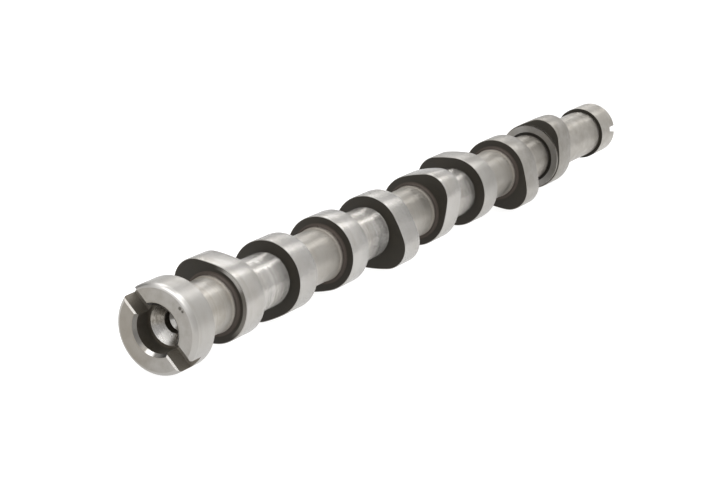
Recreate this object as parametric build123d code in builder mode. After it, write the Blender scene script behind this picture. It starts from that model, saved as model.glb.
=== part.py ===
from build123d import *
import os
from math import atan2, cos, degrees, radians, sin, sqrt, tan

os.makedirs("parts", exist_ok=True)

# Camshaft of a straight-four engine: one piece of steel, forged, turned and ground.
# X runs along the shaft's axis from the drive face to the rear end, and Z is up. The
# origin is where the axis meets the drive face. Angles turn about X, from +Y towards +Z.

# ---- Driving sizes, in millimetres and degrees

# Layout along the shaft
first_lobe_x = 41.0         # drive face to the near face of the first lobe
cylinder_pitch = 88.0       # one cylinder's lobes to the next cylinder's
lobe_spacing = 42.6         # near face to near face, within one cylinder's pair
lobe_width = 14.0
rear_collar_x = 411.6       # drive face to the near face of the rear collar

# Cam form: base circle, two convex flanks and a nose, each tangent to the next
base_r = 17.5
lift = 4.6
nose_r = 11.5
flank_r = 70.5
lobe_chamfer = 0.3

# Timing
lobe_separation = 104.0                 # between the two noses of one cylinder
firing_offsets = [0, -90, 90, 180]      # each cylinder's turn from the first one's
shaft_turn = -13.6                      # turn of the whole shaft about X, as it lies

# Ground journals, with a relief where the wheel runs out against a lobe
journal_r = 12.2
relief_width = 1.1
relief_depth = 0.35

# Turned necks, with a small step and a fillet against each lobe
neck_r = 12.3
step_reach = 2.9
step_height = 0.35
neck_fillet = 1.55

# Drive flange
flange_r = 19.6
flange_length = 14.1
flange_front_chamfer = 1.5
flange_back_chamfer = 0.4

# Drive slot across the flange
slot_width = 7.2
slot_depth = 8.3
slot_offset = 0.45          # its middle plane from the axis
slot_angle = 54.2           # from the middle between the first cylinder's noses
slot_chamfer = 0.7

# Spigot bore in the flange, the cone behind it and the bolt hole
spigot_r = 10.2
spigot_depth = 10.0
spigot_chamfer = 1.4
cone_mouth_r = 9.4
cone_length = 3.8
bolt_hole_r = 5.25
bolt_hole_depth = 17.5      # drive face to the end of the full bore
drill_point = 118.0

# Thrust collar against the last lobe, with an undercut at its foot
thrust_r = 16.8
thrust_length = 2.0
thrust_corner = 0.5         # straight ring in the corner behind it
undercut_r = 13.5
undercut_in_collar = 0.8
undercut_in_journal = 1.4
undercut_depth = 0.5

# Rear collar, with a setting slot and a centre hole in its end
rear_collar_r = 13.9
rear_collar_length = 16.9
rear_chamfer = 0.6
rear_slot_width = 3.6
rear_slot_depth = 6.3
rear_slot_angle = 183.3     # from the middle between the first cylinder's noses
centre_mouth_r = 5.0
centre_angle = 60.0
centre_pilot_r = 1.6
centre_pilot_length = 4.0

# ---- Places worked out from the sizes above

overlap = 0.5               # how far an added ring's section reaches into the bar
rear_x = rear_collar_x + rear_collar_length

lobes = []                  # near face's place and nose's angle, for each lobe
for cylinder, offset in enumerate(firing_offsets):
    near_x = first_lobe_x + cylinder * cylinder_pitch
    middle = shaft_turn + offset
    lobes.append((near_x, middle + lobe_separation / 2))
    lobes.append((near_x + lobe_spacing, middle - lobe_separation / 2))

first_of_pair = [x for x, angle in lobes[0::2]]
second_of_pair = [x for x, angle in lobes[1::2]]
thrust_x = second_of_pair[-1] - thrust_length

# Each place where a neck or a journal meets a lobe's face: x, and the side it comes from
neck_ends = [(x, -1) for x in first_of_pair]
neck_ends += [(x + lobe_width, 1) for x in second_of_pair[:-1]]
journal_ends = [(x + lobe_width, 1) for x in first_of_pair + second_of_pair[-1:]]
journal_ends += [(x, -1) for x in second_of_pair[:-1]]


def radial(angle):
    """Unit direction across the shaft, at an angle about X."""
    return Vector(0, cos(radians(angle)), sin(radians(angle)))


def slot_plane(x, angle):
    """Plane across a slot: local X over the slot's width, local Y along the shaft."""
    return Plane((x, 0, 0), x_dir=radial(angle + 90), z_dir=radial(angle))


# ---- One lobe, with its nose along local +X

nose_x = base_r + lift - nose_r
base_to_flank = flank_r - base_r
nose_to_flank = flank_r - nose_r
flank_x = (base_to_flank**2 - nose_to_flank**2 + nose_x**2) / (2 * nose_x)
flank_y = sqrt(base_to_flank**2 - flank_x**2)
base_end = degrees(atan2(flank_y, -flank_x))
nose_end = degrees(atan2(flank_y, nose_x - flank_x))

with BuildPart() as lobe:
    with BuildSketch():
        with BuildLine():
            CenterArc((0, 0), base_r, base_end, 360 - 2 * base_end)
            CenterArc((flank_x, -flank_y), flank_r, nose_end, base_end - nose_end)
            CenterArc((nose_x, 0), nose_r, -nose_end, 2 * nose_end)
            CenterArc((flank_x, flank_y), flank_r, -base_end, base_end - nose_end)
        make_face()
    extrude(amount=lobe_width)
    chamfer(lobe.faces().filter_by(Axis.Z).edges(), lobe_chamfer)

# ---- The camshaft

with BuildPart() as camshaft:
    # Drive flange
    with BuildSketch(Plane.YZ):
        Circle(flange_r)
    extrude(amount=flange_length)
    chamfer(camshaft.edges().sort_by(Axis.X)[0], flange_front_chamfer)
    chamfer(camshaft.edges().sort_by(Axis.X)[-1], flange_back_chamfer)

    # Bar: necks outside the pairs of lobes, journals inside them and behind the last
    neck_starts = [flange_length] + [x + lobe_width for x in second_of_pair[:-1]]
    for start, end in zip(neck_starts, first_of_pair):
        with BuildSketch(Plane.YZ.offset(start)):
            Circle(neck_r)
        extrude(amount=end - start)
    journal_stops = second_of_pair + [rear_collar_x]
    for start, end in zip(first_of_pair + second_of_pair[-1:], journal_stops):
        with BuildSketch(Plane.YZ.offset(start)):
            Circle(journal_r)
        extrude(amount=end - start)

    # Grinding reliefs, cut before the lobes go on
    with BuildSketch(Plane.XZ):
        for face_x, side in journal_ends:
            with BuildLine():
                floor = journal_r - relief_depth
                Polyline(
                    (face_x, journal_r + overlap),
                    (face_x, floor),
                    (face_x + side * (relief_width - relief_depth), floor),
                    (face_x + side * (relief_width + overlap), journal_r + overlap),
                    close=True,
                )
            make_face()
    revolve(axis=Axis.X, mode=Mode.SUBTRACT)

    # Lobes, thrust collar and rear collar
    for near_x, nose_angle in lobes:
        with Locations(Plane((near_x, 0, 0), x_dir=radial(nose_angle), z_dir=(1, 0, 0))):
            add(lobe.part)
    with BuildSketch(Plane.YZ.offset(thrust_x)):
        Circle(thrust_r)
    extrude(amount=thrust_length)
    with BuildSketch(Plane.YZ.offset(rear_collar_x)):
        Circle(rear_collar_r)
    extrude(amount=rear_collar_length)
    chamfer(camshaft.edges().sort_by(Axis.X)[-1], rear_chamfer)

    # Rings of metal in the corners: a step and a fillet at each neck's end, and a straight
    # corner behind the thrust collar
    with BuildSketch(Plane.XZ):
        for face_x, side in neck_ends:
            land = neck_r + step_height
            with BuildLine():
                Polyline(
                    (face_x, land + neck_fillet),
                    (face_x - side * overlap, land + neck_fillet),
                    (face_x - side * overlap, neck_r - overlap),
                    (face_x + side * step_reach, neck_r - overlap),
                    (face_x + side * step_reach, neck_r),
                    (face_x + side * (step_reach - step_height), land),
                    (face_x + side * neck_fillet, land),
                )
                TangentArc(
                    (face_x + side * neck_fillet, land),
                    (face_x, land + neck_fillet),
                    tangent=(-side, 0),
                )
            make_face()
        with BuildLine():
            foot_x = second_of_pair[-1]
            Polyline(
                (foot_x, thrust_r + thrust_corner),
                (foot_x + overlap, thrust_r + thrust_corner),
                (foot_x + overlap, thrust_r - overlap),
                (foot_x - thrust_corner, thrust_r - overlap),
                (foot_x - thrust_corner, thrust_r),
                close=True,
            )
        make_face()
    revolve(axis=Axis.X)

    # Undercut at the thrust collar's foot, into the journal and the collar's face
    with BuildSketch(Plane.XZ):
        with BuildLine():
            Polyline(
                (thrust_x - undercut_in_journal, journal_r + overlap),
                (thrust_x - undercut_in_journal + undercut_depth, journal_r - undercut_depth),
                (thrust_x + undercut_in_collar, journal_r - undercut_depth),
                (thrust_x + undercut_in_collar, undercut_r),
                (thrust_x - undercut_in_journal, undercut_r),
                close=True,
            )
        make_face()
    revolve(axis=Axis.X, mode=Mode.SUBTRACT)

    # Spigot bore, cone and bolt hole
    with BuildSketch(Plane.XZ):
        with BuildLine():
            Polyline(
                (0, 0),
                (0, spigot_r + spigot_chamfer),
                (spigot_chamfer, spigot_r),
                (spigot_depth, spigot_r),
                (spigot_depth, cone_mouth_r),
                (spigot_depth + cone_length, bolt_hole_r),
                (bolt_hole_depth, bolt_hole_r),
                (bolt_hole_depth + bolt_hole_r / tan(radians(drill_point / 2)), 0),
                close=True,
            )
        make_face()
    revolve(axis=Axis.X, mode=Mode.SUBTRACT)

    # Drive slot, with its two upper edges broken
    with BuildSketch(slot_plane(0, shaft_turn + slot_angle)):
        with BuildLine():
            left = slot_offset - slot_width / 2
            right = slot_offset + slot_width / 2
            Polyline(
                (left - slot_chamfer, 0),
                (left, slot_chamfer),
                (left, slot_depth),
                (right, slot_depth),
                (right, slot_chamfer),
                (right + slot_chamfer, 0),
                close=True,
            )
        make_face()
    extrude(amount=flange_r, both=True, mode=Mode.SUBTRACT)

    # Setting slot and centre hole in the rear end
    with BuildSketch(slot_plane(rear_x, shaft_turn + rear_slot_angle)):
        Rectangle(rear_slot_width, 2 * rear_slot_depth)
    extrude(amount=rear_collar_r, both=True, mode=Mode.SUBTRACT)
    with BuildSketch(Plane.XZ):
        with BuildLine():
            slope = tan(radians(centre_angle / 2))
            cone_x = rear_x - (centre_mouth_r - centre_pilot_r) / slope
            pilot_x = cone_x - centre_pilot_length
            Polyline(
                (rear_x, 0),
                (rear_x, centre_mouth_r),
                (cone_x, centre_pilot_r),
                (pilot_x, centre_pilot_r),
                (pilot_x - centre_pilot_r / tan(radians(drill_point / 2)), 0),
                close=True,
            )
        make_face()
    revolve(axis=Axis.X, mode=Mode.SUBTRACT)

camshaft.part.label = "camshaft"
export_step(camshaft.part, "parts/camshaft.step")
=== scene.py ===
from math import atan2, cos, hypot, pi, radians, sin, sqrt, tan

import bpy
from mathutils import Matrix, Vector


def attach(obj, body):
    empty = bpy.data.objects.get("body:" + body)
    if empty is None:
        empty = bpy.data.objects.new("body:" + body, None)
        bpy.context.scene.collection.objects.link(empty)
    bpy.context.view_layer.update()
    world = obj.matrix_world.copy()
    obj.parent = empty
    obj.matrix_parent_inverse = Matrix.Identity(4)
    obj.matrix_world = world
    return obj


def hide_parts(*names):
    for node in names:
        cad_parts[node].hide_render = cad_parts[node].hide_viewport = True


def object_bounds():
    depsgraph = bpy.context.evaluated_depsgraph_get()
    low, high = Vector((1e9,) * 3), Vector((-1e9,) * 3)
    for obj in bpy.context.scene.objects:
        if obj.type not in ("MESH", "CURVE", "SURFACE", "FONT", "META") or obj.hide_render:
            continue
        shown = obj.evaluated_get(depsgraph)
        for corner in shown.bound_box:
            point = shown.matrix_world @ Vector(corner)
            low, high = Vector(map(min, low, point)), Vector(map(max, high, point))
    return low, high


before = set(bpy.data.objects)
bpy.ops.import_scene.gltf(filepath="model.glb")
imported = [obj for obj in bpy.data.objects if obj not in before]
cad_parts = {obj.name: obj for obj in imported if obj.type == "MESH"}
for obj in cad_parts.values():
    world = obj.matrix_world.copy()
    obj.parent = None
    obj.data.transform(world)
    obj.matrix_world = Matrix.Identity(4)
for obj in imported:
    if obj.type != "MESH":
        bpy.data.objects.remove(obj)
cad_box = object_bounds()
print("the frame holds", sorted(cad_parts))

# %% [markdown]
# ## Sizes
# A scene can't read the part's source, so the driving sizes are repeated, in metres. X runs along
# the axis from the drive face, and angles turn about X, from +Y towards +Z.
# %% Repeat the driving sizes
mm = 0.001

# Where the lobes sit, how a cam is formed and how far its nose is turned
first_lobe_x = 41.0 * mm
cylinder_pitch = 88.0 * mm
lobe_spacing = 42.6 * mm
lobe_width = 14.0 * mm
base_r = 17.5 * mm
lift = 4.6 * mm
nose_r = 11.5 * mm
flank_r = 70.5 * mm
lobe_chamfer = 0.3 * mm
lobe_separation = 104.0
firing_offsets = [0, -90, 90, 180]
shaft_turn = -13.6

# Ground journals and turned necks
journal_r = 12.2 * mm
relief_width = 1.1 * mm
relief_depth = 0.35 * mm
neck_r = 12.3 * mm
step_reach = 2.9 * mm
step_height = 0.35 * mm
neck_fillet = 1.55 * mm

# Drive flange, its slot and its bore
flange_r = 19.6 * mm
flange_length = 14.1 * mm
flange_front_round = 2.2 * mm
flange_back_chamfer = 0.4 * mm
slot_width = 7.2 * mm
slot_depth = 8.3 * mm
slot_offset = 0.45 * mm
slot_chamfer = 0.7 * mm
slot_angle = shaft_turn + 54.2
spigot_r = 10.2 * mm
spigot_depth = 10.0 * mm
spigot_chamfer = 1.4 * mm
cone_mouth_r = 9.4 * mm
cone_length = 3.8 * mm
bolt_hole_r = 5.25 * mm
bolt_hole_depth = 17.5 * mm
drill_point = 118.0

# Thrust collar and the undercut at its foot
thrust_r = 16.8 * mm
thrust_length = 2.0 * mm
thrust_corner = 0.5 * mm
undercut_r = 13.5 * mm
undercut_in_collar = 0.8 * mm
undercut_in_journal = 1.4 * mm
undercut_depth = 0.5 * mm

# Rear collar, its setting slot and its centre hole
rear_collar_x = 411.6 * mm
rear_collar_r = 13.9 * mm
rear_collar_length = 16.9 * mm
rear_chamfer = 0.6 * mm
rear_slot_width = 3.6 * mm
rear_slot_depth = 6.3 * mm
rear_slot_angle = shaft_turn + 183.3
centre_mouth_r = 5.0 * mm
centre_angle = 60.0
centre_pilot_r = 1.6 * mm
centre_pilot_length = 4.0 * mm
rear_x = rear_collar_x + rear_collar_length

# Each lobe's near face and the angle of its nose
lobes = []
for cylinder, offset in enumerate(firing_offsets):
    near_x = first_lobe_x + cylinder * cylinder_pitch
    lobes.append((near_x, shaft_turn + offset + lobe_separation / 2))
    lobes.append((near_x + lobe_spacing, shaft_turn + offset - lobe_separation / 2))
print("the shaft has", len(lobes), "lobes and is", round(rear_x / mm, 1), "mm long")


# %% [markdown]
# ## A chain of edges, drawn as by hand
# An outline for the lathe is a chain of edges. A small plane is merged to a single vertex, and that
# vertex is extruded from corner to corner. Round corners get a few vertices along their arc. A
# full spin leaves doubled vertices where it closes, so a finished piece is welded.
# %% Helpers for drawing and for placing
weld_reach = 0.001 * mm     # vertices nearer to each other than this become one
sharp_from = 28.0           # edges that turn by more degrees than this stay sharp


def deselect():
    """Object mode, with nothing selected, so that the next operator acts on its own piece."""
    if bpy.context.object and bpy.context.object.mode != "OBJECT":
        bpy.ops.object.mode_set(mode="OBJECT")
    bpy.ops.object.select_all(action="DESELECT")


def draw_chain(name, points, closed=False):
    """A new piece, left in edit mode: one chain of edges through the points."""
    deselect()
    bpy.ops.mesh.primitive_plane_add(size=mm)
    piece = bpy.context.object
    piece.name = name
    bpy.ops.object.mode_set(mode="EDIT")
    bpy.ops.mesh.merge(type="CENTER")
    bpy.ops.transform.translate(value=points[0])
    for here, there in zip(points, points[1:]):
        bpy.ops.mesh.extrude_vertices_move(TRANSFORM_OT_translate={"value": there - here})
    bpy.ops.mesh.select_all(action="SELECT")
    if closed:
        bpy.ops.mesh.edge_face_add()
    return piece


def radial(angle):
    """Unit direction across the shaft, at an angle in degrees about X."""
    return Vector((0, cos(radians(angle)), sin(radians(angle))))


def close_up(piece):
    """Welds a piece, turns its faces outwards and shades it smooth between its sharp edges."""
    bpy.ops.object.mode_set(mode="EDIT")
    bpy.ops.mesh.select_all(action="SELECT")
    bpy.ops.mesh.remove_doubles(threshold=weld_reach)
    bpy.ops.mesh.normals_make_consistent(inside=False)
    bpy.ops.object.mode_set(mode="OBJECT")
    bpy.ops.object.shade_smooth_by_angle(angle=radians(sharp_from))
    print(piece.name, "has", len(piece.data.polygons), "faces")


print("an angle of 90 degrees points to", [round(share, 3) for share in radial(90)])


# %% [markdown]
# ## The turned bar
# Flange, necks, journals, collars and the holes in both ends are all round about the axis, so one
# outline holds them. It starts at the bolt hole's point, comes out through the spigot bore, runs
# along the outside and goes back in through the centre hole. Where a lobe will sit, it passes
# underneath.
# %% Draw the outline for the lathe
outline = []
bury = 0.4 * mm             # how far the bar's steps reach into a lobe
step_run = 1.6 * mm         # how long the necks' soft steps are
arc_steps = 8               # edges along a round corner or a soft step
thrust_slope = 0.8          # the rise of the slope behind the thrust collar, over its length
land_r = neck_r + step_height
relief_r = journal_r - relief_depth


def corner(x, r):
    """One corner of the outline, at a place along the axis and a radius."""
    outline.append(Vector((x, r, 0)))


def round_corner(centre_x, centre_r, radius, start, end):
    """An arc of the outline, about a centre, between two angles in degrees."""
    for step in range(arc_steps + 1):
        angle = radians(start + (end - start) * step / arc_steps)
        corner(centre_x + radius * cos(angle), centre_r + radius * sin(angle))


def relief_behind(face_x):
    """A lobe's far face, the grinding relief behind it and the start of a journal."""
    corner(face_x - bury, relief_r)
    corner(face_x + relief_width - relief_depth, relief_r)
    corner(face_x + relief_width, journal_r)


def soft_step(middle_x, start_r, end_r):
    """A step of the outline that eases in and out, around a place along the axis."""
    for step in range(arc_steps + 1):
        share = step / arc_steps
        rise = (1 - cos(pi * share)) / 2
        corner(middle_x + step_run * (share - 0.5), start_r + (end_r - start_r) * rise)


corner(bolt_hole_depth + bolt_hole_r / tan(radians(drill_point / 2)), 0)
corner(bolt_hole_depth, bolt_hole_r)
corner(spigot_depth + cone_length, bolt_hole_r)
corner(spigot_depth, cone_mouth_r)
corner(spigot_depth, spigot_r)
corner(spigot_chamfer, spigot_r)
corner(0, spigot_r + spigot_chamfer)
round_corner(flange_front_round, flange_r - flange_front_round, flange_front_round, 180, 90)
corner(flange_length - flange_back_chamfer, flange_r)
corner(flange_length, flange_r - flange_back_chamfer)
corner(flange_length, neck_r)

for (first_x, _), (second_x, _) in zip(lobes[0::2], lobes[1::2]):
    # The neck's step and fillet against the first lobe's near face
    soft_step(first_x - step_reach + step_height / 2, neck_r, land_r)
    round_corner(first_x - neck_fillet, land_r + neck_fillet, neck_fillet, -90, 0)
    corner(first_x + bury, land_r + neck_fillet)
    # The journal, from one relief to the other
    relief_behind(first_x + lobe_width)
    last_pair = second_x == lobes[-1][0]
    if last_pair:
        face_x = second_x - thrust_length
        corner(face_x - undercut_in_journal, journal_r)
        corner(face_x - undercut_in_journal + undercut_depth, journal_r - undercut_depth)
        corner(face_x + undercut_in_collar, journal_r - undercut_depth)
        corner(face_x + undercut_in_collar, undercut_r)
        corner(face_x, undercut_r)
        corner(face_x, thrust_r)
        corner(second_x - thrust_corner, thrust_r)
        corner(second_x, thrust_r + thrust_corner * thrust_slope)
        corner(second_x + bury, thrust_r)
    else:
        corner(second_x - relief_width, journal_r)
        corner(second_x - relief_width + relief_depth, relief_r)
        corner(second_x + bury, relief_r)
    # What leaves the second lobe's far face: a neck, or after the last lobe a journal
    far_x = second_x + lobe_width
    if last_pair:
        relief_behind(far_x)
    else:
        corner(far_x - bury, land_r + neck_fillet)
        round_corner(far_x + neck_fillet, land_r + neck_fillet, neck_fillet, 180, 270)
        soft_step(far_x + step_reach - step_height / 2, land_r, neck_r)

corner(rear_collar_x, journal_r)
corner(rear_collar_x, rear_collar_r)
corner(rear_x - rear_chamfer, rear_collar_r)
corner(rear_x, rear_collar_r - rear_chamfer)
corner(rear_x, centre_mouth_r)
centre_floor_x = rear_x - (centre_mouth_r - centre_pilot_r) / tan(radians(centre_angle / 2))
corner(centre_floor_x, centre_pilot_r)
corner(centre_floor_x - centre_pilot_length, centre_pilot_r)
corner(centre_floor_x - centre_pilot_length - centre_pilot_r / tan(radians(drill_point / 2)), 0)
print("the outline has", len(outline), "corners")

# %% [markdown]
# ## Turning it
# A lathe turns the bar against its tool. Spinning the outline about X does the same to a chain of
# edges. A screw modifier could too, but the slots are cut next, so the faces are made real at once.
# %% Spin the outline
spin_steps = 224
bar = draw_chain("turned_bar", outline)
bpy.ops.mesh.spin(steps=spin_steps, angle=2 * pi, center=(0, 0, 0), axis=(1, 0, 0))
close_up(bar)


# %% [markdown]
# ## The slots
# The drive slot is milled right across the flange and its upper edges are broken. Its cutter is a
# bar with the slot's own section, widening at the mouth, and a boolean takes it out. The rear slot
# is a plain narrow one.
# %% Cut both slots
def cut(piece, cutter):
    """Takes the cutter's solid out of the piece, and removes the cutter."""
    deselect()
    bpy.context.view_layer.objects.active = piece
    piece.select_set(True)
    boolean = piece.modifiers.new("cut", "BOOLEAN")
    boolean.operation = "DIFFERENCE"
    boolean.solver = "EXACT"
    boolean.object = cutter
    bpy.ops.object.modifier_apply(modifier=boolean.name)
    bpy.data.objects.remove(cutter)


def slot_cutter(name, section, angle, reach):
    """A closed bar across the shaft, for (across, x) corners. Reach is half its length."""
    across, along = radial(angle + 90), radial(angle)
    corners = [across * side + Vector((x, 0, 0)) - along * reach for side, x in section]
    cutter = draw_chain(name, corners, closed=True)
    bpy.ops.mesh.extrude_region_move(TRANSFORM_OT_translate={"value": along * 2 * reach})
    close_up(cutter)
    return cutter


ahead = 1.0 * mm            # how far a cutter stands out of the end that it cuts
left = slot_offset - slot_width / 2
right = slot_offset + slot_width / 2
spread = slot_chamfer + ahead
drive_section = [
    (left - spread, -ahead), (left, slot_chamfer), (left, slot_depth),
    (right, slot_depth), (right, slot_chamfer), (right + spread, -ahead),
]
cut(bar, slot_cutter("drive_slot_cutter", drive_section, slot_angle, flange_r + ahead))
half = rear_slot_width / 2
rear_section = [
    (-half, rear_x + ahead), (-half, rear_x - rear_slot_depth),
    (half, rear_x - rear_slot_depth), (half, rear_x + ahead),
]
cut(bar, slot_cutter("rear_slot_cutter", rear_section, rear_slot_angle, rear_collar_r + ahead))
close_up(bar)

# %% [markdown]
# ## The lobes
# A cam is a base circle with a nose, joined by two large flank arcs that touch both. A grinding
# wheel follows that form around the shaft. Here a circle's vertices are pushed out onto the arcs,
# each along its own ray, so they stay evenly spread and the flanks show no flats.
# %% Work out the cam's form
nose_x = base_r + lift - nose_r
base_to_flank = flank_r - base_r
nose_to_flank = flank_r - nose_r
flank_x = (base_to_flank**2 - nose_to_flank**2 + nose_x**2) / (2 * nose_x)
flank_y = sqrt(base_to_flank**2 - flank_x**2)
base_end = atan2(flank_y, -flank_x)
nose_end = atan2(flank_y, nose_x - flank_x)
flank_top = atan2(nose_r * sin(nose_end), nose_x + nose_r * cos(nose_end))


def ray_to_circle(angle, x, y, r):
    """How far a ray from the axis, at an angle, runs to the far side of a circle."""
    along = x * cos(angle) + y * sin(angle)
    return along + sqrt(r**2 - x**2 - y**2 + along**2)


def cam_radius(angle):
    """The cam's radius at an angle from its nose, in radians."""
    angle = abs(angle)
    if angle < flank_top:
        return ray_to_circle(angle, nose_x, 0, nose_r)
    if angle < base_end:
        return ray_to_circle(angle, flank_x, -flank_y, flank_r)
    return base_r


print("the nose stands", round((cam_radius(0) - base_r) / mm, 2), "mm above the base circle")

# %% [markdown]
# ## One lobe
# The circle is extruded to the lobe's width. A bevel on the edges of its two sides breaks the rims,
# as a stone does after grinding.
# %% Model one lobe
cam_points = 256
rim_facets = 2
deselect()
bpy.ops.mesh.primitive_circle_add(
    vertices=cam_points, radius=base_r, fill_type="NGON", rotation=(0, pi / 2, 0)
)
lobe = bpy.context.object
lobe.name = "lobe"
bpy.ops.object.transform_apply(location=True, rotation=True, scale=True)
for vertex in lobe.data.vertices:
    angle = atan2(vertex.co.z, vertex.co.y)
    vertex.co = Vector((0, cos(angle), sin(angle))) * cam_radius(angle)
bpy.ops.object.mode_set(mode="EDIT")
bpy.ops.mesh.select_all(action="SELECT")
bpy.ops.mesh.extrude_region_move(TRANSFORM_OT_translate={"value": (lobe_width, 0, 0)})
bpy.ops.object.mode_set(mode="OBJECT")
for edge in lobe.data.edges:
    ends = [lobe.data.vertices[index].co.x for index in edge.vertices]
    edge.select = abs(ends[0] - ends[1]) < mm
bpy.ops.object.mode_set(mode="EDIT")
bpy.ops.mesh.select_mode(type="EDGE")
bpy.ops.mesh.bevel(offset=lobe_chamfer, offset_type="OFFSET", segments=rim_facets)
bpy.ops.mesh.select_mode(type="VERT")
close_up(lobe)

# %% [markdown]
# ## Eight of them
# All eight cams are ground to one form, so one lobe is copied to each place and turned to its
# angle.
# %% Copy it to each place
lobe_pieces = []
for number, (near_x, nose_angle) in enumerate(lobes, start=1):
    deselect()
    lobe.select_set(True)
    bpy.context.view_layer.objects.active = lobe
    bpy.ops.object.duplicate()
    copy = bpy.context.object
    copy.name = f"cam_lobe_{number}"
    copy.location = (near_x, 0, 0)
    copy.rotation_euler = (radians(nose_angle), 0, 0)
    bpy.ops.object.transform_apply(location=True, rotation=True, scale=True)
    lobe_pieces.append(copy)
bpy.data.objects.remove(lobe)
print("placed", [piece.name for piece in lobe_pieces])


# %% [markdown]
# ## Finishes
# A finish is a node tree. Python expressions write its maths: a value that varies over the surface
# is wrapped, and each operator adds a Math node. So a finish reads as a few lines of arithmetic,
# where its nodes would fill a screen.
# %% A small language for finishes
bump_filter = 0.02          # width of a bump's sample in pixels, narrow enough for fine lines


class Varying:
    """A socket whose value varies over the surface. Operators on it add Math nodes."""

    def __init__(self, finish, socket):
        self.finish, self.socket = finish, socket

    def maths(self, operation, first, second):
        """Adds a Math node, for two values that may each be plain or varying."""
        return self.finish.add("ShaderNodeMath", {"operation": operation}, {0: first, 1: second})

    def __add__(self, other):
        return self.maths("ADD", self, other)

    def __sub__(self, other):
        return self.maths("SUBTRACT", self, other)

    def __rsub__(self, other):
        return self.maths("SUBTRACT", other, self)

    def __mul__(self, other):
        return self.maths("MULTIPLY", self, other)

    def __truediv__(self, other):
        return self.maths("DIVIDE", self, other)

    __radd__, __rmul__ = __add__, __mul__


class Finish:
    """A material under construction, with the patterns that metal finishes share."""

    def __init__(self, name):
        self.owner = bpy.data.materials.new(name)
        self.owner.use_nodes = True
        self.tree = self.owner.node_tree
        self.shader = self.tree.nodes["Principled BSDF"]
        self.place = self.add("ShaderNodeTexCoord", {}, {}, "Object")
        self.x = self.add("ShaderNodeSeparateXYZ", {}, {0: self.place}, "X")
        self.y = Varying(self, self.x.socket.node.outputs["Y"])
        self.z = Varying(self, self.x.socket.node.outputs["Z"])
        squares = self.y * self.y + self.z * self.z
        self.radius = squares.maths("POWER", squares, 0.5)

    def add(self, kind, settings, sockets, output=0):
        """Adds a node, sets it up, fills its sockets and gives one output."""
        node = self.tree.nodes.new(kind)
        for key, value in settings.items():
            setattr(node, key, value)
        for key, value in sockets.items():
            if isinstance(value, Varying):
                self.tree.links.new(value.socket, node.inputs[key])
            else:
                node.inputs[key].default_value = value
        return Varying(self, node.outputs[output])

    def noise(self, vector, scale, detail=3.0, roughness=0.55):
        """Noise from 0 to 1 over a vector."""
        sockets = {"Vector": vector, "Scale": scale, "Detail": detail, "Roughness": roughness}
        return self.add("ShaderNodeTexNoise", {}, sockets, "Fac")

    def stretched(self, along_x, across):
        """The place on the surface, scaled apart along the axis and across it."""
        sockets = {"Vector": self.place, "Scale": (along_x, across, across)}
        return self.add("ShaderNodeMapping", {"vector_type": "POINT"}, sockets)

    def fade(self, value, low, high, start=0.0, end=1.0):
        """Goes smoothly from start to end as the value goes from low to high."""
        sockets = {0: value, 1: low, 2: high, 3: start, 4: end}
        return self.add("ShaderNodeMapRange", {"interpolation_type": "SMOOTHSTEP"}, sockets)

    def past_first_lobe(self):
        """How far a place lies behind the near face of its own pair's first lobe.

        The pattern repeats, so the flange counts as lying behind a pair that isn't there.
        """
        past = self.x - (first_lobe_x - cylinder_pitch)
        return past.maths("MODULO", past, cylinder_pitch)

    def towards(self, angle, outer, inner):
        """1 near an angle about the axis, falling to 0 between two distances from it, in degrees."""
        way = radial(angle)
        cosine = (self.y * way.y + self.z * way.z) / self.radius
        return self.fade(cosine, cos(radians(outer)), cos(radians(inner)))

    def mix(self, amount, first, second):
        """A colour between two colours."""
        amount_input, first_input, second_input, colour_output = 0, 6, 7, 2
        sockets = {amount_input: amount, first_input: first, second_input: second}
        return self.add("ShaderNodeMix", {"data_type": "RGBA"}, sockets, colour_output)

    def bump(self, height, depth):
        """A bumped normal, for a height from 0 to 1 that stands for a depth in metres."""
        sockets = {
            "Height": height, "Distance": depth, "Strength": 1.0, "Filter Width": bump_filter,
        }
        return self.add("ShaderNodeBump", {}, sockets)

    def set(self, **sockets):
        """Fills the shader's sockets: base_color=, metallic=, roughness= and so on."""
        for key, value in sockets.items():
            socket = self.shader.inputs[key.replace("_", " ").title().replace("Ior", "IOR")]
            if isinstance(value, Varying):
                self.tree.links.new(value.socket, socket)
            else:
                socket.default_value = value
        return self.owner


def grey(value, warmth=0.0):
    """A colour near grey: warmth shifts it towards yellow."""
    return (value * (1 + 1.3 * warmth), value, value * (1 - 2 * warmth), 1.0)


print("a warm middle grey is", grey(0.5, 0.05))


# %% [markdown]
# ## Ground steel
# Journals and cams leave the grinding machine with fine lines around the shaft. The lines are
# steep for their size, so they draw every reflection out along the axis, while it stays sharp
# around it. Noise that is squeezed along X and fed to a bump does the same, and it needs neither a
# UV map nor a tangent. The lines deepen before each pair's second lobe and stay deep up to the next
# pair, and they are deep on the flange too. Towards the rear they are even and the steel is duller.
# There it is also painted darker, as painted shade for its dimmer reflections, with stains in two
# tones. The flange's front corner gets a painted highlight over a short stretch.
# %% Make the ground finishes
line_grain = (21000.0, 12.0)            # noise per metre, along the axis and across it
rear_run = (180.0 * mm, 380.0 * mm)     # places between which the steel grows dull
deepening_run = 9.0 * mm                # how far before a second lobe the lines deepen
deepening = 1.2                         # how much deeper they get, as a share


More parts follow.
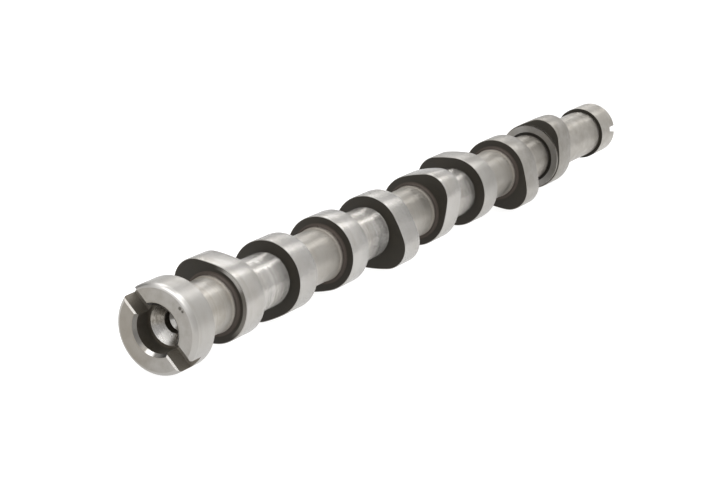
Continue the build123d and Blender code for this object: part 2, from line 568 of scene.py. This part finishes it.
def ground_steel(name, tone, blur, line_depth, painted_sheen=None):
    """Ground metal. Painted sheen gives an angle about the axis, half a width and a tone for a
    painted highlight there.
    """
    finish = Finish(name)
    lines = finish.noise(finish.stretched(*line_grain), 1.0, 0.0)
    bands = finish.noise(finish.stretched(420.0, 6.0), 1.0, 2.0)
    clouds = finish.noise(finish.place, 55.0, 4.0)
    light, dark = grey(tone, 0.025), grey(tone * 0.88, 0.04)
    rear = finish.fade(finish.x, *rear_run)
    colour = finish.mix(finish.fade(clouds + 0.4 * (bands - 0.5), 0.35, 0.75), light, dark)
    # Painted shade with stains: towards the rear the colour goes to two darker greys, which stand in
    # for dimmer reflections, and the noise between them draws stains.
    stains = finish.fade(finish.noise(finish.place, 230.0, 5.0, 0.65), 0.35, 0.65)
    shade_and_stains = finish.mix(stains, grey(tone * 0.7, 0.045), grey(tone * 0.55, 0.06))
    colour = finish.mix(rear, colour, shade_and_stains)
    # A painted highlight: near one angle the colour goes to a lighter grey, where the front
    # softbox's highlight falls.
    if painted_sheen:
        angle, reach, sheen_tone = painted_sheen
        highlight_mask = finish.towards(angle, reach * 1.5, reach * 0.5)
        colour = finish.mix(highlight_mask, colour, grey(sheen_tone, 0.02))
    roughness = blur + 0.06 * (clouds - 0.5) + 0.13 * rear
    past = finish.past_first_lobe()
    deeper = finish.fade(past, lobe_spacing - deepening_run, lobe_spacing, 0.0, deepening)
    lines = lines * (1 + deeper * (1 - rear))
    return finish.set(
        base_color=colour, metallic=1.0, roughness=roughness, normal=finish.bump(lines, line_depth)
    )


ground = ground_steel("ground_steel", 0.51, 0.19, 0.03 * mm)
cam_ground = ground_steel("cam_ground_steel", 0.38, 0.24, 0.02 * mm)
flange_steel = ground_steel("flange_steel", 0.36, 0.32, 0.014 * mm)
# The front corner gets a painted highlight near 112 degrees about the axis.
corner_steel = ground_steel("corner_steel", 0.33, 0.31, 0.006 * mm, painted_sheen=(112.0, 26.0, 0.44))
edge_steel = ground_steel("edge_steel", 0.38, 0.27, 0.004 * mm)
ground_finishes = [ground, cam_ground, flange_steel, corner_steel, edge_steel]
print("made", [finish.name for finish in ground_finishes])


# %% [markdown]
# ## Turned steel
# The necks are only turned, so they are darker and browner than ground steel, though their rings
# are drawn like its lines. Hardening the lobes has browned the last few millimetres of steel beside
# them. The lobes repeat at the cylinder pitch, so a remainder gives the distance to the nearest
# one. The necks behind the first are a little darker, and a neck is dull where it runs up to a
# pair's first lobe. In the flange's bore, the turned steel gets a painted highlight on one side.
# %% Make the turned finishes
straw = (0.2, 0.165, 0.13, 1.0)
brown = (0.042, 0.032, 0.027, 1.0)
straw_run = (1.5 * mm, 7.0 * mm)        # distances from a lobe between which straw fades out
brown_run = (0.8 * mm, 2.0 * mm)        # the same for brown
tint_waver = 2.0 * mm                   # how far the tints' edges wander
dull_run = (2.0 * mm, 9.0 * mm)         # distances before a pair between which dullness ends


def turned_steel(name, tone, blur, ring_depth, tinted=False, painted_highlight=None, mottle=0.0):
    """Turned metal. Painted highlight gives an angle about the axis, half a width and a tone for a
    painted highlight there.
    """
    finish = Finish(name)
    rings = finish.noise(finish.stretched(*line_grain), 1.0, 0.0)
    bands = finish.noise(finish.stretched(700.0, 10.0), 1.0, 3.0)
    clouds = finish.noise(finish.place, 90.0, 5.0, 0.6)
    light, dark = grey(tone, 0.035), grey(tone * 0.78, 0.07)
    colour = finish.mix(finish.fade(clouds + 0.5 * (bands - 0.5), 0.35, 0.75), light, dark)
    roughness = blur + 0.08 * (bands - 0.5) + 0.1 * (clouds - 0.5)
    if tinted:
        behind = finish.fade(finish.x, first_lobe_x, first_lobe_x + lobe_spacing, 0.0, 0.6)
        colour = finish.mix(behind, colour, grey(tone * 0.76, 0.05))
        past = finish.past_first_lobe()
        before = cylinder_pitch - past
        after = past - (lobe_spacing + lobe_width)
        nearest = before.maths("MINIMUM", before, after)
        edge = nearest + tint_waver * (clouds - 0.5)
        colour = finish.mix(finish.fade(edge, *straw_run, 0.35, 0.0), colour, straw)
        colour = finish.mix(finish.fade(edge, *brown_run, 0.88, 0.0), colour, brown)
        roughness = roughness + finish.fade(before, *dull_run, 0.3, 0.0)
    if mottle:
        flecks = finish.noise(finish.stretched(1500.0, 500.0), 1.0, 3.0, 0.6)
        spots = finish.fade(flecks, 0.35, 0.62, mottle, 0.0)
        colour = finish.mix(spots, colour, grey(tone * 0.3, 0.1))
    # A painted highlight: near one angle, broken up by the noise, the colour goes to a lighter grey
    # where a highlight falls.
    if painted_highlight:
        angle, reach, highlight_tone = painted_highlight
        highlight_mask = finish.towards(angle, reach * 1.5, reach * 0.5)
        bright = highlight_mask * finish.fade(bands + clouds, 0.6, 1.0)
        colour = finish.mix(bright, colour, grey(highlight_tone, 0.02))
    return finish.set(
        base_color=colour, metallic=1.0, roughness=roughness, normal=finish.bump(rings, ring_depth)
    )


turned = turned_steel("turned_steel", 0.41, 0.33, 0.025 * mm, tinted=True)
# The cone, the mouth's chamfer and the drill point each get a painted highlight on one side.
cone_steel = turned_steel(
    "cone_steel", 0.31, 0.27, 0.02 * mm, painted_highlight=(300.0, 34.0, 0.3), mottle=0.65
)
mouth_steel = turned_steel("mouth_steel", 0.14, 0.26, 0.014 * mm, painted_highlight=(283.0, 9.0, 0.45))
drill_steel = turned_steel("drill_steel", 0.1, 0.25, 0.014 * mm, painted_highlight=(318.0, 20.0, 0.38))
print("made", [finish.name for finish in (turned, cone_steel, mouth_steel, drill_steel)])


# %% [markdown]
# ## Black skin
# The lobes' sides aren't machined: the forging skin is nearly black and a little uneven. It is
# scale and not bare metal, so it is only partly metallic. Only on the first lobe did the tool that
# turned the neck also touch the side, in a grey band along the base circle. Near the band's upper
# end a painted highlight lightens it.
# %% Make the black finishes
skin_metallic, band_metallic = 0.3, 0.95
skin_depth = 0.02 * mm
band_inner_r = 15.2 * mm
band_edge, band_waver = 0.6 * mm, 0.3 * mm      # how soft its inner edge is, and how it wanders
band_reach = (160.0, 72.0, 40.0)        # an angle about the axis, where it fades out and starts to
highlight_reach = (127.0, 26.0, 6.0)         # the same for the painted highlight on the band


def black_skin(name, banded):
    """Forging skin, with or without the touch of a turning tool along the base circle."""
    finish = Finish(name)
    clouds = finish.noise(finish.place, 180.0, 5.0, 0.6)
    grains = finish.noise(finish.place, 1400.0, 3.0, 0.6)
    colour = finish.mix(clouds, grey(0.008, 0.15), grey(0.017, 0.2))
    roughness = 0.5 + 0.25 * (clouds - 0.5)
    metallic = skin_metallic
    if banded:
        rings = finish.noise(finish.stretched(1.0, 1.0), 900.0, 2.0)
        edge_r = finish.radius + band_waver * (clouds - 0.5)
        band = finish.fade(edge_r, band_inner_r, band_inner_r + band_edge)
        band = band * finish.towards(*band_reach)
        # Painted highlight: near one angle the band goes to a lighter grey, where a highlight falls
        # on it.
        painted_highlight = finish.towards(*highlight_reach)
        band_and_highlight = finish.mix(painted_highlight, grey(0.165, 0.05), grey(0.45, 0.02))
        colour = finish.mix(band, colour, band_and_highlight)
        roughness = roughness - 0.1 * band + 0.05 * rings
        metallic = finish.fade(band, 0.0, 1.0, skin_metallic, band_metallic)
    return finish.set(
        base_color=colour, metallic=metallic, roughness=roughness, specular_ior_level=0.36,
        normal=finish.bump(grains + clouds, skin_depth),
    )


black = black_skin("black_skin", False)
banded_black = black_skin("banded_black_skin", True)
print("made", black.name, "and", banded_black.name)


# %% [markdown]
# ## The flange's face, slot and bore
# The drive face is a satin grey. It has a stain around the bore, is darker towards +Y, and has
# two small punch marks, which are drawn as dark pits with no depth in the mesh. The slot is darker,
# and more so near the bore on one arm. The bore is darker still.
# %% Make the flange's finishes
punch_marks = [(-11.1 * mm, 12.15 * mm, 1.0 * mm), (-12.4 * mm, 11.1 * mm, 0.75 * mm)]
pit_depth = 6.0                         # of a punch mark, against the height of the grains
stain_r, stain_edge = 12.6 * mm, 1.5 * mm           # the stain's radius and how soft it ends
darker_side_run = (-8.0 * mm, 16.0 * mm)    # places across the face between which it darkens
inner_end_reach = (27.0, 70.0, 40.0)          # an angle about the axis, where it fades out and starts to
inner_end_run = (spigot_r + 1.0 * mm, flange_r - 2.0 * mm)    # radii between which it fades out
stain_waver, darker_side_waver, inner_end_waver = 5.0 * mm, 8.0 * mm, 6.0 * mm    # how edges wander


def satin_steel(
    name, tone, warmth, blur, metallic, grain_depth, grain_share=0.3, marked=False, darker_inner_end=False
):
    """Dull metal. Marked adds the drive face's stain, darker side and marks; darker inner end
    darkens the slot near the bore.
    """
    finish = Finish(name)
    clouds = finish.noise(finish.place, 160.0, 5.0, 0.6)
    grains = finish.noise(finish.place, 1600.0, 3.0, 0.6)
    light, dark = grey(tone, warmth), grey(tone * 0.78, warmth * 1.5)
    shade = finish.fade(clouds + grain_share * (grains - 0.5), 0.35, 0.75)
    colour = finish.mix(shade, light, dark)
    roughness = blur + 0.12 * (clouds - 0.5)
    height = grains + clouds
    if marked:
        stain_place = finish.radius + stain_waver * (clouds - 0.5)
        stain = finish.fade(stain_place, stain_r - stain_edge, stain_r, 0.4, 0.0)
        colour = finish.mix(stain, colour, grey(tone * 0.5, 0.12))
        # The face grows darker towards +Y.
        darker_side_place = finish.y + darker_side_waver * (clouds - 0.5)
        darker_side = finish.fade(darker_side_place, *darker_side_run, 0.1, 0.6)
        colour = finish.mix(darker_side, colour, grey(tone * 0.55, 0.1))
        for y, z, r in punch_marks:
            aside, above = finish.y - y, finish.z - z
            squares = aside * aside + above * above
            pit = finish.fade(squares, (0.5 * r) ** 2, r**2, 1.0, 0.0)
            colour = finish.mix(0.8 * pit, colour, grey(0.04, 0.1))
            height = height - pit_depth * pit
    if darker_inner_end:
        # Darker near the bore, on one arm of the slot.
        inner_end_place = finish.radius + inner_end_waver * (clouds - 0.5)
        inner_end_darkening = finish.towards(*inner_end_reach) * finish.fade(inner_end_place, *inner_end_run, 0.5, 0.0)
        colour = finish.mix(inner_end_darkening, colour, grey(tone * 0.25, 0.12))
    return finish.set(
        base_color=colour, metallic=metallic, roughness=roughness,
        normal=finish.bump(height, grain_depth),
    )


face = satin_steel("drive_face_steel", 0.285, 0.03, 0.42, 0.95, 0.005 * mm, marked=True)
slot_steel = satin_steel(
    "slot_steel", 0.175, 0.07, 0.5, 0.6, 0.015 * mm, grain_share=1.2, darker_inner_end=True
)
thrust_steel = satin_steel("thrust_face_steel", 0.24, 0.03, 0.4, 0.9, 0.008 * mm)
bore_steel = satin_steel("bore_steel", 0.125, 0.08, 0.4, 0.8, 0.006 * mm)
print("made", [finish.name for finish in (face, slot_steel, thrust_steel, bore_steel)])

# %% [markdown]
# ## Which face gets which finish
# Each face of the bar is known by its place along the axis, its distance from it and the way that
# it looks. So one function names every face's finish, and no face is picked by hand.
# %% Give the bar its finishes
bar_finishes = [
    ground, turned, face, flange_steel, edge_steel, slot_steel, bore_steel,
    corner_steel, mouth_steel, cone_steel, drill_steel, thrust_steel, black,
]
for finish in bar_finishes:
    bar.data.materials.append(finish)
slot_across = radial(slot_angle + 90)
neck_spans = [(flange_length, first_lobe_x)]
neck_spans += [(x + lobe_width, x + cylinder_pitch - lobe_spacing) for x, _ in lobes[1:-1:2]]
tiny = 0.05 * mm            # how far off a plane still counts as on it
wall_lean, edge_lean = 0.9, 0.6     # least share across the slot of a wall's and an edge's normal


def bar_finish(centre, normal):
    """The finish of a face of the bar, by its centre and its normal."""
    r = hypot(centre.y, centre.z)
    across = abs(centre.dot(slot_across) - slot_offset)
    in_slot = centre.x < slot_depth + tiny and across < slot_width / 2 + slot_chamfer
    lean = abs(normal.dot(slot_across))
    if in_slot and lean > edge_lean:
        return slot_steel if lean > wall_lean else edge_steel
    if abs(centre.x - slot_depth) < tiny:
        return slot_steel
    if centre.x < bolt_hole_depth + bolt_hole_r and r < spigot_r + spigot_chamfer:
        if tiny < centre.x < spigot_chamfer:
            return mouth_steel
        if centre.x > bolt_hole_depth:
            return drill_steel
        on_cone = spigot_depth + tiny < centre.x < spigot_depth + cone_length - tiny
        return cone_steel if on_cone else bore_steel
    if centre.x < tiny:
        return face
    if centre.x < flange_front_round:
        return corner_steel
    if centre.x < flange_length - tiny:
        return flange_steel
    if any(start - tiny < centre.x < end + tiny for start, end in neck_spans):
        return turned
    if abs(centre.x - rear_collar_x) < tiny:
        return black
    behind_thrust_face = centre.x - (lobes[-1][0] - thrust_length)
    at_undercut = -undercut_in_journal < behind_thrust_face < undercut_in_collar + tiny
    if at_undercut and r < undercut_r + tiny:
        return black if abs(behind_thrust_face) > tiny else thrust_steel
    if abs(behind_thrust_face) < tiny:
        return thrust_steel
    if thrust_length - thrust_corner - tiny < behind_thrust_face < thrust_length + bury:
        return black
    return ground


for polygon in bar.data.polygons:
    polygon.material_index = bar_finishes.index(bar_finish(polygon.center, polygon.normal))
print(bar.name, "wears", len(bar_finishes), "finishes")

# %% [markdown]
# ## The lobes' two finishes
# The wheel grinds a lobe all round and never touches its sides. Their normals lie along the axis.
# %% Give the lobes their finishes
side_on = 0.95              # least share along the axis of a side's normal
for piece in lobe_pieces:
    piece.data.materials.append(cam_ground)
    piece.data.materials.append(banded_black if piece == lobe_pieces[0] else black)
    for polygon in piece.data.polygons:
        polygon.material_index = 1 if abs(polygon.normal.x) > side_on else 0
print("the lobes' sides are", black.name)

# %% [markdown]
# ## Hang the pieces on the frame
# All pieces belong to the one rigid body, and together they stand for the one solid.
# %% Ride and replace
for piece in [bar] + lobe_pieces:
    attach(piece, "root")
    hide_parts("camshaft")
print(len(lobe_pieces) + 1, "pieces stand for the camshaft")

# %% [markdown]
# ## Floor
# The shaft lies on a pale floor. The floor glows, brightest near the flange, so hardly any shadow
# is left on it and the steel's lower side sees a light ground.
# %% Lay the floor
floor_z = cad_box[0][2]
floor_size, floor_middle_x = 12.0, 0.2
glow_run = (0.1, 0.5)       # places along the shaft between which the glow fades
near_glow, far_glow = grey(0.86), grey(0.42)
deselect()
bpy.ops.mesh.primitive_plane_add(size=floor_size, location=(floor_middle_x, 0, floor_z))
floor = bpy.context.object
floor.name = "pale_floor"
paper = Finish("pale_paper")
glow = paper.mix(paper.fade(paper.x, *glow_run), near_glow, far_glow)
floor.data.materials.append(
    paper.set(base_color=grey(0.35), roughness=0.9, emission_color=glow, emission_strength=1.0)
)
print("the floor lies", round(-floor_z / mm, 1), "mm below the axis")


# %% [markdown]
# ## The room
# Polished steel shows only what stands around it, and an even room would leave it flat. So the
# room is bright, with a few round patches that are brighter or darker. The ground lines draw each
# patch out into a streak along the shaft.
# %% Light the room
class Room(Finish):
    """The light from all around, written in the same language. Its place is a direction."""

    def __init__(self, name):
        self.owner = bpy.data.worlds.new(name)
        self.owner.use_nodes = True
        self.tree = self.owner.node_tree
        self.shader = self.tree.nodes["Background"]
        self.place = self.add("ShaderNodeTexCoord", {}, {}, "Generated")

    def patch(self, azimuth, elevation, width, edge, change):
        """A round patch, brighter or darker by a change. All but the change is in degrees."""
        sockets = {0: self.place, 1: aim(azimuth, elevation)}
        nearness = self.add("ShaderNodeVectorMath", {"operation": "DOT_PRODUCT"}, sockets, "Value")
        inner, outer = cos(radians(width / 2)), cos(radians(width / 2 + edge))
        return self.fade(nearness, outer, inner, 0.0, change)


def aim(azimuth, elevation):
    """The unit direction at an azimuth from +X towards +Y, and an elevation, in degrees."""
    turn, rise = radians(azimuth), radians(elevation)
    level = cos(rise)
    return Vector((level * cos(turn), level * sin(turn), sin(rise)))


room_patches = [            # azimuth, elevation, width, soft edge and change of brightness
    (-20, 10, 14, 14, -0.25),
    (38, 6, 24, 16, -0.2),
    (95, 22, 22, 10, -0.85),
    (180, 60, 60, 30, 0.25),
    (-30, 27, 20, 16, 0.25),
]
room = Room("bright_room")
room_strength = 1.08
for patch in room_patches:
    room_strength = room_strength + room.patch(*patch)
bpy.context.scene.world = room.set(color=(1, 1, 1, 1), strength=room_strength)
print("the room has", len(room_patches), "patches")


# %% [markdown]
# ## Softboxes
# A long strip seen in a round bar is a thin highlight along it. Two strips hang above the shaft and
# run on past both ends, so no highlight stops early. A wide softbox before the flange lights the
# drive face.
# %% Hang the softboxes
def softbox(name, middle, target, width, length, brightness):
    """A rectangular light that faces a point, with its length along the shaft."""
    light = bpy.data.lights.new(name, "AREA")
    light.shape, light.size, light.size_y = "RECTANGLE", length, width
    light.energy = brightness * pi * width * length
    lamp = bpy.data.objects.new(name, light)
    lamp.location = middle
    back = (middle - target).normalized()
    side = Vector((1, 0, 0)) - back * back.x
    turn = Matrix((side.normalized(), back.cross(side).normalized(), back)).transposed()
    lamp.rotation_euler = turn.to_euler()
    bpy.context.scene.collection.objects.link(lamp)


strip_distance, strip_width = 2.0, 0.5
strip_start, strip_end = -0.3, 3.2
strip_length = strip_end - strip_start
strip_target = Vector(((strip_start + strip_end) / 2, 0, 0))
strips = [("middle_strip", 103.5, 2.45), ("left_strip", 60.0, 2.5)]     # angle and brightness
for name, angle, brightness in strips:
    strip_middle = strip_target + radial(angle) * strip_distance
    softbox(name, strip_middle, strip_target, strip_width, strip_length, brightness)
front_distance, front_width, front_length, front_brightness = 2.5, 2.1, 1.4, 2.4
front_target = Vector((0, 0, 0))
front_middle = front_target + aim(176, 51) * front_distance
softbox("front_softbox", front_middle, front_target, front_width, front_length, front_brightness)
print("the room and three softboxes light it")

# %% [markdown]
# ## Camera
# The camera stands before the drive face, on the -Y side and a little above, with a long lens. Its
# turn is built from the way that it looks and from what lies to its right, so that no angle has to
# be worked out. The Standard view shows tones as they were mixed.
# %% Set up the camera
camera_place = Vector((-682.5, -459.4, 315.3)) * mm
looking = Vector((0.8351, 0.4524, -0.3129)).normalized()
rightwards = Vector((0.4981, -0.8633, 0.0812))
rightwards = (rightwards - looking * rightwards.dot(looking)).normalized()
upwards = rightwards.cross(looking)
lens = bpy.data.cameras.new("camera")
lens.sensor_width = 36.0
lens.lens = 109.008
lens.clip_start = 0.01
camera = bpy.data.objects.new("camera", lens)
camera_turn = Matrix((rightwards, upwards, -looking)).transposed().to_4x4()
camera.matrix_world = Matrix.Translation(camera_place) @ camera_turn
bpy.context.scene.collection.objects.link(camera)
bpy.context.scene.camera = camera
bpy.context.scene.view_settings.view_transform = "Standard"
print("the camera stands", round(camera_place.length, 3), "m from the drive face")
